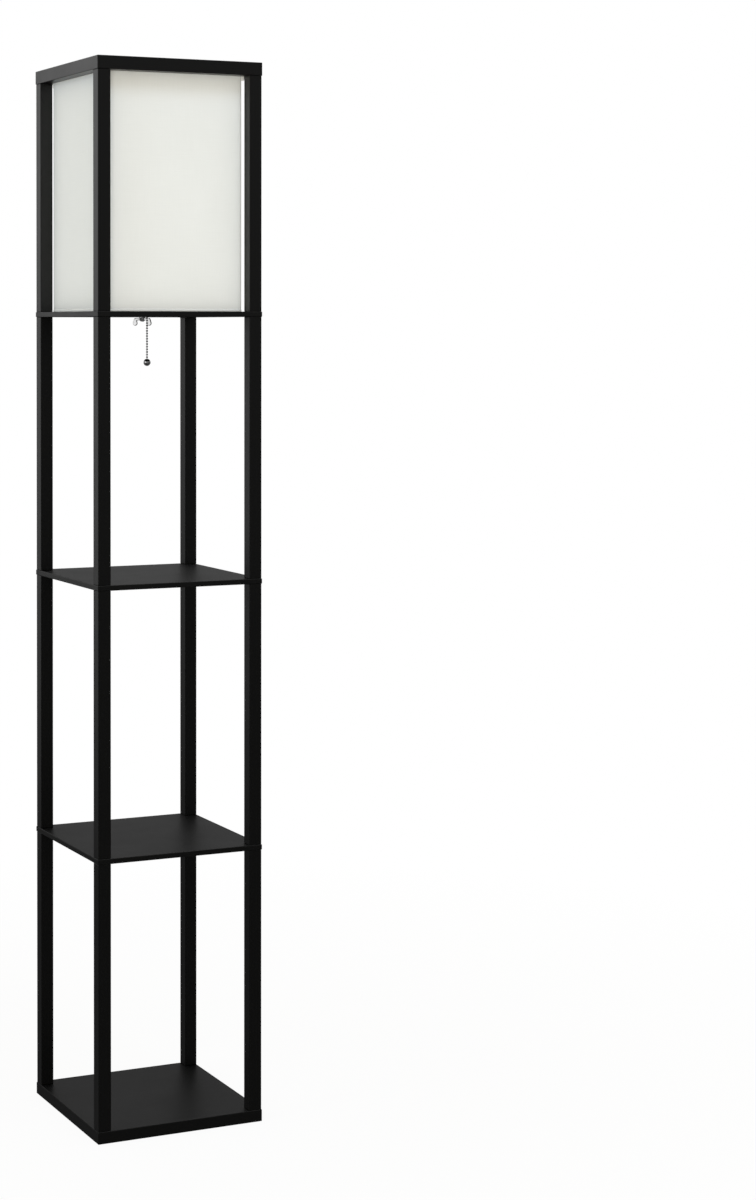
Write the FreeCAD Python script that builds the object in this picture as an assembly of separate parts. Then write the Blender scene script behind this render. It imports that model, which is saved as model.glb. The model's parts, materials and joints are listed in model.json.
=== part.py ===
"""Square shelf floor lamp: a stack of boards on corner posts, with a shaded lamp in the top section.

Millimetres, +Z up. The origin is the middle of the base board's underside. The front is -Y, the
left is -X. Every separate piece of the lamp is one STEP file in parts/.
"""
import FreeCAD, Part
import math
import os

V = FreeCAD.Vector

# ---- boards, posts and top frame ----
board_side = 266.0            # all boards and the top frame are squares of this size
base_thickness = 18.0
shelf_thickness = 8.0
open_post_length = 394.5      # clear height of each of the three open compartments
shade_post_length = 354.5     # clear height of the section that holds the shade
post_side = 20.0
post_inset = 0.8              # how far a post's outer faces stand back from the boards' edges
rail_width = 20.0
rail_height = 20.0
board_round = 1.0             # radius along the boards' edges
post_round = 1.0
rail_round = 1.0

# ---- threaded joints between posts, boards and top frame ----
stud_diameter = 6.0
stud_reach = 9.5              # length of stud in each post or rail
insert_diameter = 9.0
insert_length = 10.0
insert_bore_extra = 1.0       # the drilled hole runs this much deeper than its insert
board_hole_clearance = 0.3    # radial, round a stud or screw in a board
fixed_clearance = 0.05        # radial, between fixed pieces that fit one in the other
screw_head_diameter = 12.0
screw_head_height = 4.0
screw_socket_side = 4.0       # hexagon socket, across flats
screw_socket_depth = 2.5
screw_recess_depth = 6.0
screw_recess_clearance = 1.0
dowel_diameter = 6.0
dowel_length = 30.0
dowel_drop = 5.5              # dowel axis below the top face of the rails
dowel_end_clearance = 0.5

# ---- shade ----
shade_clearance = 1.4         # round the shade when it stands central between the posts
shade_wall_thickness = 1.0
shade_corner_radius = 3.5
shade_top_rise = 2.0          # how far the shade's top edge reaches up inside the top frame
shade_shift_x = -1.1          # the shade has play between the posts and stands a little to one side
shade_shift_y = 1.1
ring_wire_diameter = 3.0
ring_corner_radius = 4.0
ring_wall_gap = 0.2           # between a ring's wire and the shade wall
bottom_ring_lift = 0.5        # between the light shelf and the bottom ring's wire
ear_height = 8.5
ear_thickness = 1.2
ear_end_gap = 0.3             # between an ear and the corner of its post
ear_slot_clearance = 0.3

# ---- lamp holder bracket, stud and wing nut ----
bracket_width = 26.0
bracket_depth = 26.0
bracket_height = 16.0
bracket_thickness = 1.5
bracket_bend_radius = 2.0
clamp_stud_diameter = 5.0
clamp_stud_head_diameter = 9.0
clamp_stud_head_height = 1.5
clamp_stud_tail = 1.0         # thread that shows below the wing nut
washer_diameter = 10.0
washer_thickness = 1.0
washer_clearance = 0.15       # radial, round the clamp stud
running_clearance = 0.05      # radial, between pieces that turn one in the other
wing_hub_top_diameter = 9.5
wing_hub_tip_diameter = 8.0
wing_hub_height = 5.0
wing_root_radius = 1.5
wing_root_inset = 0.8         # the wing's root circle sits this far inside the hub's top edge
wing_root_drop = 0.4          # and its upper side this far below the hub's top face
wing_shoulder_radius = 2.2
wing_shoulder_inset = 0.4     # the shoulder's circle is this much nearer to the hub than the tip's
wing_tip_radius = 3.8
wing_span = 33.0
wing_drop = 12.2              # from the hub's top face to the lowest point of the wings
wing_thickness = 2.4
wing_edge_round = 0.7
wing_hub_round = 0.5          # at the hub's lower end
wing_nut_turn = -54.0         # degrees, how the wings happen to stand
thread_pitch = 0.8            # of the clamp stud, per turn of the wing nut
wing_nut_turns = 2            # turns that the wing nut is free to make

# ---- lamp holder, sizes along its axis counted from the bracket's top face ----
nipple_diameter = 10.0
nipple_bore = 7.0
nipple_tail = 1.5             # thread below the lock nut
nipple_head = 1.0             # thread above the cap's hub
lock_nut_across_flats = 14.0
lock_nut_thickness = 3.0
cap_radius = 16.6
cap_wall = 0.6
cap_hub_radius = 8.0
cap_hub_height = 4.0
cap_shoulder_height = 8.0
cap_height = 31.0
shell_wall = 0.5
shell_length = 30.0
shell_overlap = 5.0           # length of shell inside the cap
shell_lip_radius = 16.4
shell_lip_height = 1.2
core_radius = 14.8
core_floor_gap = 0.6          # between the core and the cap's shoulder
core_height = 21.0
screw_shell_bore = 26.2       # for a bulb cap of the common 26 mm size
screw_shell_wall = 0.4
screw_shell_height = 24.0
screw_shell_opening = 5.5     # radius of the hole in its floor
liner_gap = 0.3               # radial, on both sides of the liner
liner_height = 25.0
contact_width = 3.0
contact_length = 8.0
contact_thickness = 0.4
contact_rise = 3.4
terminal_head_diameter = 5.0
terminal_head_height = 1.0
terminal_head_sink = 0.5      # the heads lie this far inside the core's side
terminal_shank_diameter = 3.0
terminal_shank_length = 6.0
terminal_height = 3.4         # terminal screw axis above the core's bottom

# ---- pull switch: lever, pin, spring and chain guide ----
chain_exit_radius = 19.0      # from the holder's axis to the chain
lever_height = 19.0           # lever pin above the bracket's top face
lever_swing = 28.0            # degrees between rest and fully pulled
lever_thickness = 1.0
lever_width = 4.4
lever_overhang = 2.2          # lever tip beyond the chain
lever_barrel_diameter = 5.0
fork_slot_width = 1.5
fork_slot_length = 3.8
pin_diameter = 3.0
pin_end_gap = 0.5             # between the pin's ends and the cap
spring_wire = 0.6
core_slot_clearance = 0.4     # beside the lever's barrel and the spring
core_slot_height = 10.6
core_slot_back = 3.2          # slot behind the lever pin
guide_width = 9.0
guide_front_gap = 0.4         # between the lever tip and the guide's inner face
guide_wall = 0.6
guide_below_pin = 9.0
guide_above_pin = 10.6
guide_spout_length = 5.0
guide_hole_diameter = 4.6
window_width = 7.2
window_height = 12.0
cutter_reach = 1.0            # how far a slot or window is cut past a round wall

# ---- bead chain ----
bead_diameter = 3.2
bead_pitch = 4.0              # nominal, rounded to a whole number of beads
chain_neck_diameter = 1.0
fork_bead_rise = 2.4          # bead centres above and below the lever's fork
bend_height_below_wings = 4.0  # bead where the hanging end starts to swing, below the wing nut
bend_gap = 0.3                # between that bead and the necks above and below it
end_ball_diameter = 11.0
end_ball_drop = 69.5          # centre of the end ball below the light shelf
end_ball_neck = 0.8
end_ball_socket_depth = 2.5
shelf_chain_hole_diameter = 9.0

# ---- bulb, sizes along its axis counted from its tip ----
bulb_cap_diameter = 26.0
bulb_cap_wall = 0.4
bulb_thread_pitch = 3.63
bulb_thread_depth = 0.5
bulb_thread_turns = 5
bulb_cap_floor = 4.0
bulb_cap_rim = 26.0
bulb_tip_radius = 2.4
bulb_tip_height = 0.8
bulb_insulator_radius = 8.5
bulb_length = 108.0
bulb_radius = 30.0
bulb_housing_top = 62.0
bulb_housing_wall = 1.5
bulb_neck_radius = 13.2
bulb_neck_plug = 3.0          # housing inside the screw cap
bulb_dome_wall = 1.2
light_board_thickness = 1.6
light_board_gap = 0.2

# ---- supply cord bushing ----
bushing_from_right = 38.0     # its middle from the light shelf's edges
bushing_from_back = 53.0
bushing_bore = 6.5
bushing_diameter = 10.0
bushing_flange_diameter = 13.0
bushing_flange_height = 1.5
bushing_lip_diameter = 11.0
bushing_lip_height = 1.0

# ---- places that follow from the sizes ----
half_side = board_side / 2
post_centre = half_side - post_inset - post_side / 2
post_inner = half_side - post_inset - post_side
rail_inner = half_side - rail_width
shade_room = min(post_inner, rail_inner)
shade_side = 2 * (shade_room - shade_clearance)
stage_height = open_post_length + shelf_thickness
lower_shelf_z = base_thickness + open_post_length
middle_shelf_z = lower_shelf_z + stage_height
light_shelf_z = middle_shelf_z + stage_height
light_shelf_top = light_shelf_z + shelf_thickness
frame_z = light_shelf_top + shade_post_length
frame_top = frame_z + rail_height
bushing_x = half_side - bushing_from_right
bushing_y = half_side - bushing_from_back

holder_y = chain_exit_radius  # the chain hangs through the middle of the shelf, the holder behind it
bracket_top = light_shelf_top + bracket_height
holder_z = bracket_top
cap_inner_radius = cap_radius - cap_wall
core_z = holder_z + cap_shoulder_height + core_floor_gap
core_top = core_z + core_height
shell_z = holder_z + cap_height - shell_overlap
shell_radius = cap_inner_radius - fixed_clearance
lever_z = holder_z + lever_height
lever_tilt = lever_swing / 2
fork_z = lever_z + chain_exit_radius * math.tan(math.radians(lever_tilt))
bulb_z = core_top + contact_rise
wing_nut_z = light_shelf_z - washer_thickness
bend_bead_z = wing_nut_z - wing_drop - bend_height_below_wings
end_ball_z = light_shelf_z - end_ball_drop
pull_travel = 2 * (fork_z - lever_z)

CORNERS = {
    "front_left": (-1, -1),
    "front_right": (1, -1),
    "back_left": (-1, 1),
    "back_right": (1, 1),
}


# ---- drawing helpers ----

def box(x0, y0, z0, x1, y1, z1):
    """Box between two corners."""
    return Part.makeBox(x1 - x0, y1 - y0, z1 - z0, V(x0, y0, z0))


def block(x, y, z0, width, depth, height):
    """Box centred on x, y that stands on z0."""
    return box(x - width / 2, y - depth / 2, z0, x + width / 2, y + depth / 2, z0 + height)


def rod(x, y, z0, diameter, length, direction=V(0, 0, 1)):
    """Cylinder that starts at the given point."""
    return Part.makeCylinder(diameter / 2, length, V(x, y, z0), direction)


def pipe(x, y, z0, outer_diameter, inner_diameter, length):
    """Upright tube."""
    return rod(x, y, z0, outer_diameter, length).cut(rod(x, y, z0, inner_diameter, length))


def turned(profile, x, y, z0):
    """Solid of revolution about an upright axis, from (radius, height) points."""
    points = [V(radius, 0, height) for radius, height in profile]
    outline = Part.makePolygon(points + points[:1])
    solid = Part.Face(outline).revolve(V(0, 0, 0), V(0, 0, 1), 360)
    solid.translate(V(x, y, z0))
    return solid


def is_upright(edge):
    """True for a straight edge along Z."""
    start, end = edge.Vertexes[0].Point, edge.Vertexes[-1].Point
    return abs(start.x - end.x) < 1e-6 and abs(start.y - end.y) < 1e-6


def rounded_prism(x, y, z0, side, height, radius):
    """Square prism with rounded upright edges."""
    prism = block(x, y, z0, side, side, height)
    return prism.makeFillet(radius, [edge for edge in prism.Edges if is_upright(edge)])


def hexagon(x, y, z0, across_flats, height):
    """Upright hexagonal prism."""
    corner_radius = across_flats / math.sqrt(3)
    angles = [math.radians(60 * step) for step in range(6)]
    points = [V(x + corner_radius * math.cos(a), y + corner_radius * math.sin(a), z0) for a in angles]
    return Part.Face(Part.makePolygon(points + points[:1])).extrude(V(0, 0, height))


def group(solids):
    """Separate solids that share one file."""
    return Part.makeCompound(solids)


def save(name, shape):
    """Write one sub-part."""
    shape.exportStep("parts/%s.step" % name)


def corner_points(distance):
    """The four corner places at this distance from the middle along X and Y."""
    return [(sx * distance, sy * distance) for sx, sy in CORNERS.values()]


# ---- boards, posts and their fasteners ----

def board(z0, thickness):
    """Square board with rounded edges and four stud holes."""
    panel = block(0, 0, z0, board_side, board_side, thickness)
    panel = panel.makeFillet(board_round, panel.Edges)
    hole_diameter = stud_diameter + 2 * board_hole_clearance
    for x, y in corner_points(post_centre):
        panel = panel.cut(rod(x, y, z0, hole_diameter, thickness))
    return panel


def base_board():
    """Bottom board: its screws are sunk from below."""
    panel = board(0, base_thickness)
    recess_diameter = screw_head_diameter + 2 * screw_recess_clearance
    for x, y in corner_points(post_centre):
        panel = panel.cut(rod(x, y, 0, recess_diameter, screw_recess_depth))
    return panel


def base_screw(x, y):
    """Flat-headed screw with a hexagon socket, head down."""
    head_z = screw_recess_depth - screw_head_height
    screw = rod(x, y, head_z, screw_head_diameter, screw_head_height)
    screw = screw.fuse(rod(x, y, screw_recess_depth, stud_diameter,
                           base_thickness + stud_reach - screw_recess_depth))
    return screw.cut(hexagon(x, y, head_z, screw_socket_side, screw_socket_depth))


def insert_hole(x, y, z0, upwards):
    """Drilled hole for a threaded insert that opens at z0."""
    depth = insert_length + insert_bore_extra
    start = z0 if upwards else z0 - depth
    return rod(x, y, start, insert_diameter + 2 * fixed_clearance, depth)


def threaded_insert(x, y, z0, upwards):
    """Threaded bush whose open end is at z0."""
    start = z0 if upwards else z0 - insert_length
    return pipe(x, y, start, insert_diameter, stud_diameter + 2 * fixed_clearance, insert_length)


def post(x, y, z0, length):
    """Square post with an insert hole in each end."""
    piece = block(x, y, z0, post_side, post_side, length)
    piece = piece.makeFillet(post_round, piece.Edges)
    return piece.cut(insert_hole(x, y, z0, True)).cut(insert_hole(x, y, z0 + length, False))


def posts(stage, z0, length):
    """The four posts of one stage, each its own piece."""
    for corner, (sx, sy) in CORNERS.items():
        save("%s_post_%s" % (stage, corner), post(sx * post_centre, sy * post_centre, z0, length))


def build_stack():
    """Boards, posts, screws, studs and inserts."""
    save("base_board", base_board())
    save("lower_shelf", board(lower_shelf_z, shelf_thickness))
    save("middle_shelf", board(middle_shelf_z, shelf_thickness))
    save("light_shelf", light_shelf())
    posts("lower", base_thickness, open_post_length)
    posts("middle", lower_shelf_z + shelf_thickness, open_post_length)
    posts("upper", middle_shelf_z + shelf_thickness, open_post_length)
    posts("shade", light_shelf_top, shade_post_length)

    places = corner_points(post_centre)
    shelf_bottoms = (lower_shelf_z, middle_shelf_z, light_shelf_z)
    save("base_screws", group([base_screw(x, y) for x, y in places]))
    save("shelf_studs", group([rod(x, y, z0 - stud_reach, stud_diameter, shelf_thickness + 2 * stud_reach)
                               for z0 in shelf_bottoms for x, y in places]))
    save("top_frame_studs", group([rod(x, y, frame_z - stud_reach, stud_diameter, 2 * stud_reach)
                                   for x, y in places]))

    upward_mouths = (base_thickness,) + tuple(z0 + shelf_thickness for z0 in shelf_bottoms) + (frame_z,)
    downward_mouths = shelf_bottoms + (frame_z,)
    inserts = [threaded_insert(x, y, z0, True) for z0 in upward_mouths for x, y in places]
    inserts += [threaded_insert(x, y, z0, False) for z0 in downward_mouths for x, y in places]
    save("threaded_inserts", group(inserts))


def light_shelf():
    """Shelf that carries the lamp: holes for the clamp stud, the chain and the cord bushing."""
    panel = board(light_shelf_z, shelf_thickness)
    holes = (
        (0, holder_y, clamp_stud_diameter + 2 * board_hole_clearance),
        (0, 0, shelf_chain_hole_diameter),
        (bushing_x, bushing_y, bushing_diameter + 2 * fixed_clearance),
    )
    for x, y, diameter in holes:
        panel = panel.cut(rod(x, y, light_shelf_z, diameter, shelf_thickness))
    return panel


# ---- top frame ----

def frame_block():
    """The whole top frame before it is split into rails."""
    opening_side = 2 * rail_inner
    frame = block(0, 0, frame_z, board_side, board_side, rail_height)
    frame = frame.cut(block(0, 0, frame_z, opening_side, opening_side, rail_height))
    rounded = []
    for edge in frame.Edges:
        middle = edge.CenterOfMass
        outer = max(abs(middle.x), abs(middle.y)) > half_side - rail_width / 2
        if outer or not is_upright(edge):
            rounded.append(edge)
    return frame.makeFillet(rail_round, rounded)


def dowel_places():
    """Dowel ends, one at each rail joint."""
    rail_y = half_side - rail_width / 2
    return [(sx * rail_inner, sy * rail_y) for sx, sy in CORNERS.values()]


def dowel(x, y, diameter, length):
    """Dowel or dowel hole along X, centred on a rail joint."""
    return rod(x - length / 2, y, frame_top - dowel_drop, diameter, length, V(1, 0, 0))


def build_top_frame():
    """Left and right rails run the full depth, front and back rails fit between them."""
    frame = frame_block()
    for x, y in corner_points(post_centre):
        frame = frame.cut(insert_hole(x, y, frame_z, True))
    for x, y in dowel_places():
        frame = frame.cut(dowel(x, y, dowel_diameter + 2 * fixed_clearance,
                                dowel_length + 2 * dowel_end_clearance))
    spaces = {
        "left": box(-half_side, -half_side, frame_z, -rail_inner, half_side, frame_top),
        "right": box(rail_inner, -half_side, frame_z, half_side, half_side, frame_top),
        "front": box(-rail_inner, -half_side, frame_z, rail_inner, 0, frame_top),
        "back": box(-rail_inner, 0, frame_z, rail_inner, half_side, frame_top),
    }
    for side, space in spaces.items():
        save("top_rail_%s" % side, frame.common(space))
    save("top_rail_dowels", group([dowel(x, y, dowel_diameter, dowel_length) for x, y in dowel_places()]))


# ---- shade ----

shade_bottom = light_shelf_top
shade_top = frame_z + shade_top_rise
ring_side = shade_side - 2 * (shade_wall_thickness + ring_wall_gap) - ring_wire_diameter


def wire_ring(z0):
    """Square ring of round wire with bent corners; z0 is the wire's middle."""
    flat = ring_side / 2 - ring_corner_radius
    reach = ring_side / 2
    bend = ring_corner_radius * (1 - math.cos(math.radians(45)))
    edges = []
    for quarter in range(4):
        turn = FreeCAD.Rotation(V(0, 0, 1), 90 * quarter)
        run = [turn.multVec(p) for p in (V(reach, -flat, 0), V(reach, flat, 0))]
        arc = [turn.multVec(p) for p in (V(reach - bend, reach - bend, 0), V(flat, reach, 0))]
        edges.append(Part.LineSegment(run[0], run[1]).toShape())
        edges.append(Part.Arc(run[1], arc[0], arc[1]).toShape())
    path = Part.Wire(edges)
    section = Part.Wire(Part.makeCircle(ring_wire_diameter / 2, V(reach, -flat, 0), V(0, 1, 0)))
    ring = path.makePipeShell([section], True, False)
    ring.translate(V(shade_shift_x, shade_shift_y, z0))
    return ring


def ear_line(sx, sy):
    """Start at the ring's corner and end just inside the post's inner corner."""
    corner = ring_side / 2 - ring_corner_radius * (1 - math.cos(math.radians(45)))
    start = V(shade_shift_x + sx * corner, shade_shift_y + sy * corner, 0)
    end = V(sx * (shade_room - ear_end_gap), sy * (shade_room - ear_end_gap), 0)
    return start, end


def ear(sx, sy, thickness, height, top):
    """Flat upright strip from the top ring out towards a post."""
    start, end = ear_line(sx, sy)
    length = (end - start).Length
    strip = box(0, -thickness / 2, top - height, length, thickness / 2, top)
    strip.rotate(V(0, 0, 0), V(0, 0, 1), math.degrees(math.atan2(end.y - start.y, end.x - start.x)))
    strip.translate(start)
    return strip


def shade_wall():
    """Square tube of stiff fabric laminate, slotted at its top corners for the ring's ears."""
    height = shade_top - shade_bottom
    outer = rounded_prism(shade_shift_x, shade_shift_y, shade_bottom, shade_side, height,
                          shade_corner_radius)
    inner = rounded_prism(shade_shift_x, shade_shift_y, shade_bottom,
                          shade_side - 2 * shade_wall_thickness, height,
                          shade_corner_radius - shade_wall_thickness / 2)
    wall = outer.cut(inner)
    for sx, sy in CORNERS.values():
        wall = wall.cut(ear(sx, sy, ear_thickness + 2 * ear_slot_clearance,
                            ear_height + ear_slot_clearance, shade_top))
    return wall


def build_shade():
    """Shade wall and the two wire rings that keep it square."""
    save("shade_wall", shade_wall())
    top_ring = wire_ring(shade_top - ring_wire_diameter / 2)
    for sx, sy in CORNERS.values():
        top_ring = top_ring.fuse(ear(sx, sy, ear_thickness, ear_height, shade_top))
    save("shade_top_ring", top_ring)
    save("shade_bottom_ring", wire_ring(shade_bottom + bottom_ring_lift + ring_wire_diameter / 2))


# ---- bracket, clamp stud, washer and wing nut ----

def holder_bracket():
    """C-shaped strap: lower flange on the shelf, upper flange under the lamp holder."""
    strap = block(0, holder_y, light_shelf_top, bracket_width, bracket_depth, bracket_height)
    back = holder_y + bracket_depth / 2
    bends = [edge for edge in strap.Edges
             if abs(edge.CenterOfMass.y - back) < 1e-6 and abs(edge.CenterOfMass.x) < 1e-6]
    strap = strap.makeFillet(bracket_bend_radius, bends)
    strap = strap.cut(box(-bracket_width / 2, holder_y - bracket_depth / 2,
                          light_shelf_top + bracket_thickness, bracket_width / 2,
                          back - bracket_thickness, bracket_top - bracket_thickness))
    strap = strap.cut(rod(0, holder_y, light_shelf_top, clamp_stud_diameter + 2 * fixed_clearance,
                          bracket_thickness))
    return strap.cut(rod(0, holder_y, bracket_top - bracket_thickness,
                         nipple_diameter + 2 * fixed_clearance, bracket_thickness))


def clamp_stud():
    """Headed stud that hangs through the shelf."""
    head_z = light_shelf_top + bracket_thickness
    tail_z = wing_nut_z - wing_hub_height - clamp_stud_tail
    shank = rod(0, holder_y, tail_z, clamp_stud_diameter, head_z - tail_z)
    return shank.fuse(rod(0, holder_y, head_z, clamp_stud_head_diameter, clamp_stud_head_height))


def rounded_bar(start, start_radius, end, end_radius):
    """Flat face round two circles that stand in the X-Z plane."""
    run = end - start
    along = math.atan2(run.z, run.x)
    spread = math.acos((start_radius - end_radius) / run.Length)

    def on_circle(centre, radius, turn):
        return centre + V(radius * math.cos(along + turn), 0, radius * math.sin(along + turn))

    first = [on_circle(start, start_radius, turn) for turn in (-spread, math.pi, spread)]
    last = [on_circle(end, end_radius, turn) for turn in (spread, 0, -spread)]
    return Part.Face(Part.Wire([
        Part.Arc(*first).toShape(),
        Part.LineSegment(first[2], last[0]).toShape(),
        Part.Arc(*last).toShape(),
        Part.LineSegment(last[2], first[0]).toShape(),
    ]))


def wing(side):
    """One wing: an arm out from the hub to a shoulder, and a lobe that hangs from there."""
    tip_reach = wing_span / 2 - wing_tip_radius
    root = V(side * (wing_hub_top_diameter / 2 - wing_root_inset), 0, -wing_root_radius - wing_root_drop)
    shoulder = V(side * (tip_reach - wing_shoulder_inset), 0, -wing_shoulder_radius - wing_root_drop)
    tip = V(side * tip_reach, 0, wing_tip_radius - wing_drop)
    arm = rounded_bar(root, wing_root_radius, shoulder, wing_shoulder_radius)
    lobe = rounded_bar(shoulder, wing_shoulder_radius, tip, wing_tip_radius)
    plate = arm.fuse(lobe).removeSplitter().Faces[0].extrude(V(0, wing_thickness, 0))
    plate.translate(V(0, -wing_thickness / 2, 0))
    rims = [edge for edge in plate.Edges if abs(abs(edge.CenterOfMass.y) - wing_thickness / 2) < 1e-6]
    return plate.makeFillet(wing_edge_round, rims)


def wing_nut():
    """Tapered hub with two drooping wings, hanging under the washer."""
    hub = turned([(0, -wing_hub_height), (wing_hub_tip_diameter / 2, -wing_hub_height),
                  (wing_hub_top_diameter / 2, 0), (0, 0)], 0, 0, 0)
    hub = hub.makeFillet(wing_hub_round, [edge for edge in hub.Edges
                                          if abs(edge.CenterOfMass.z + wing_hub_height) < 1e-6])
    nut = hub.fuse([wing(1), wing(-1)])
    nut = nut.cut(rod(0, 0, -wing_drop, clamp_stud_diameter + 2 * running_clearance, wing_drop))
    nut.rotate(V(0, 0, 0), V(0, 0, 1), wing_nut_turn)
    nut.translate(V(0, holder_y, wing_nut_z))
    return nut


def build_clamp():
    """What clamps the lamp holder to the light shelf."""
    save("holder_bracket", holder_bracket())
    save("clamp_stud", clamp_stud())
    save("clamp_washer", pipe(0, holder_y, wing_nut_z, washer_diameter,
                              clamp_stud_diameter + 2 * washer_clearance, washer_thickness))
    save("wing_nut", wing_nut())


# ---- lamp holder ----

def holder_nipple():
    """Hollow threaded tube that joins the holder to the bracket and lets the wires out."""
    bottom = bracket_top - bracket_thickness - lock_nut_thickness - nipple_tail
    top = holder_z + cap_hub_height + cap_wall + nipple_head
    return pipe(0, holder_y, bottom, nipple_diameter, nipple_bore, top - bottom)


def lock_nut():
    """Thin hexagon nut under the bracket's upper flange."""
    z0 = bracket_top - bracket_thickness - lock_nut_thickness
    nut = hexagon(0, holder_y, z0, lock_nut_across_flats, lock_nut_thickness)
    return nut.cut(rod(0, holder_y, z0, nipple_diameter + 2 * fixed_clearance, lock_nut_thickness))


def holder_cap():
    """Pressed cap with a solid hub, and a window for the switch lever."""
    bore = nipple_diameter / 2 + fixed_clearance
    cap = turned([
        (bore, 0),
        (cap_hub_radius, 0),
        (cap_hub_radius, cap_hub_height),
        (cap_radius, cap_shoulder_height),
        (cap_radius, cap_height),
        (cap_inner_radius, cap_height),
        (cap_inner_radius, cap_shoulder_height + cap_wall / 2),
        (cap_hub_radius - cap_wall / 2, cap_hub_height + cap_wall),
        (bore, cap_hub_height + cap_wall),
    ], 0, holder_y, holder_z)
    window = box(-window_width / 2, holder_y - cap_radius - cutter_reach, lever_z - window_height / 2,
                 window_width / 2, holder_y, lever_z + window_height / 2)
    return cap.cut(window)


def holder_shell():
    """Thin outer sleeve with a rolled lip at its mouth."""
    inner = shell_radius - shell_wall
    return turned([
        (inner, 0),
        (shell_radius, 0),
        (shell_radius, shell_length - shell_lip_height),
        (shell_lip_radius, shell_length - shell_lip_height),
        (shell_lip_radius, shell_length),
        (inner, shell_length),
    ], 0, holder_y, shell_z)


def shell_liner():
    """Fibre sleeve between the outer shell and the live screw shell."""
    outer = 2 * (shell_radius - shell_wall - liner_gap)
    inner = screw_shell_bore + 2 * (screw_shell_wall + liner_gap)
    return pipe(0, holder_y, core_top, outer, inner, liner_height)


def screw_shell():
    """Brass cup that the bulb screws into."""
    outer = screw_shell_bore / 2 + screw_shell_wall
    return turned([
        (screw_shell_opening, 0),
        (outer, 0),
        (outer, screw_shell_height),
        (screw_shell_bore / 2, screw_shell_height),
        (screw_shell_bore / 2, screw_shell_wall),
        (screw_shell_opening, screw_shell_wall),
    ], 0, holder_y, core_top)


def centre_contact():
    """Bent strip that presses on the bulb's tip."""
    x0, x1 = -contact_length / 2, contact_length / 2
    y0, y1 = holder_y - contact_width / 2, holder_y + contact_width / 2
    top = core_top + contact_rise
    foot = box(x0, y0, core_top, x1, y1, core_top + contact_thickness)
    riser = box(x0, y0, core_top, x0 + contact_thickness, y1, top)
    head = box(x0, y0, top - contact_thickness, x1, y1, top)
    return foot.fuse(riser).fuse(head).removeSplitter()


def terminal_places():
    """Side and direction of the two terminal screws."""
    return [(side, core_z + terminal_height) for side in (-1, 1)]


def terminal_screw(side, z0, clearance=0.0):
    """Screw in the side of the core, head outwards; with clearance it is its hole."""
    outward = V(side, 0, 0)
    seat = core_radius - terminal_head_height - terminal_head_sink
    shank = Part.makeCylinder(terminal_shank_diameter / 2 + clearance, terminal_shank_length + clearance,
                              V(side * seat, holder_y, z0), outward * -1)
    head_length = terminal_head_height if not clearance else core_radius
    head = Part.makeCylinder(terminal_head_diameter / 2 + clearance, head_length,
                             V(side * seat, holder_y, z0), outward)
    return shank.fuse(head)


def core_slot():
    """Space in the core where the lever and its spring swing."""
    width = lever_width + 2 * spring_wire + 2 * core_slot_clearance
    front = holder_y - core_radius - cutter_reach
    return box(-width / 2, front, lever_z - core_slot_height / 2,
               width / 2, holder_y + core_slot_back, lever_z + core_slot_height / 2)


def holder_core():
    """Moulded insulating body that carries the switch and the contacts."""
    core = rod(0, holder_y, core_z, 2 * core_radius, core_height)
    core = core.cut(core_slot())
    core = core.cut(rod(-core_radius, holder_y, lever_z, pin_diameter + 2 * fixed_clearance,
                        2 * core_radius, V(1, 0, 0)))
    for side, z0 in terminal_places():
        core = core.cut(terminal_screw(side, z0, fixed_clearance))
    return core


def switch_lever():
    """Forked lever on a barrel, tilted up at rest; its fork holds the chain's top bead."""
    tip_y = holder_y - chain_exit_radius - lever_overhang
    x1 = lever_width / 2
    plate = box(-x1, tip_y, lever_z - lever_thickness / 2, x1, holder_y, lever_z + lever_thickness / 2)
    barrel = rod(-x1, holder_y, lever_z, lever_barrel_diameter, lever_width, V(1, 0, 0))
    lever = plate.fuse(barrel)
    lever = lever.cut(rod(-x1, holder_y, lever_z, pin_diameter + 2 * running_clearance,
                          lever_width, V(1, 0, 0)))
    lever = lever.cut(box(-fork_slot_width / 2, tip_y, lever_z - lever_thickness,
                          fork_slot_width / 2, tip_y + fork_slot_length, lever_z + lever_thickness))
    lever.rotate(V(0, holder_y, lever_z), V(1, 0, 0), -lever_tilt)
    return lever


def lever_pin():
    """Pin through the core that the lever turns on."""
    length = 2 * (cap_inner_radius - pin_end_gap)
    return rod(-length / 2, holder_y, lever_z, pin_diameter, length, V(1, 0, 0))


def lever_spring():
    """Return spring beside the lever's barrel, drawn as one closed turn of wire."""
    inner = pin_diameter + 2 * fixed_clearance
    start = lever_width / 2 + core_slot_clearance / 2
    outside = rod(start, holder_y, lever_z, inner + 2 * spring_wire, spring_wire, V(1, 0, 0))
    return outside.cut(rod(start, holder_y, lever_z, inner, spring_wire, V(1, 0, 0)))


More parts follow.
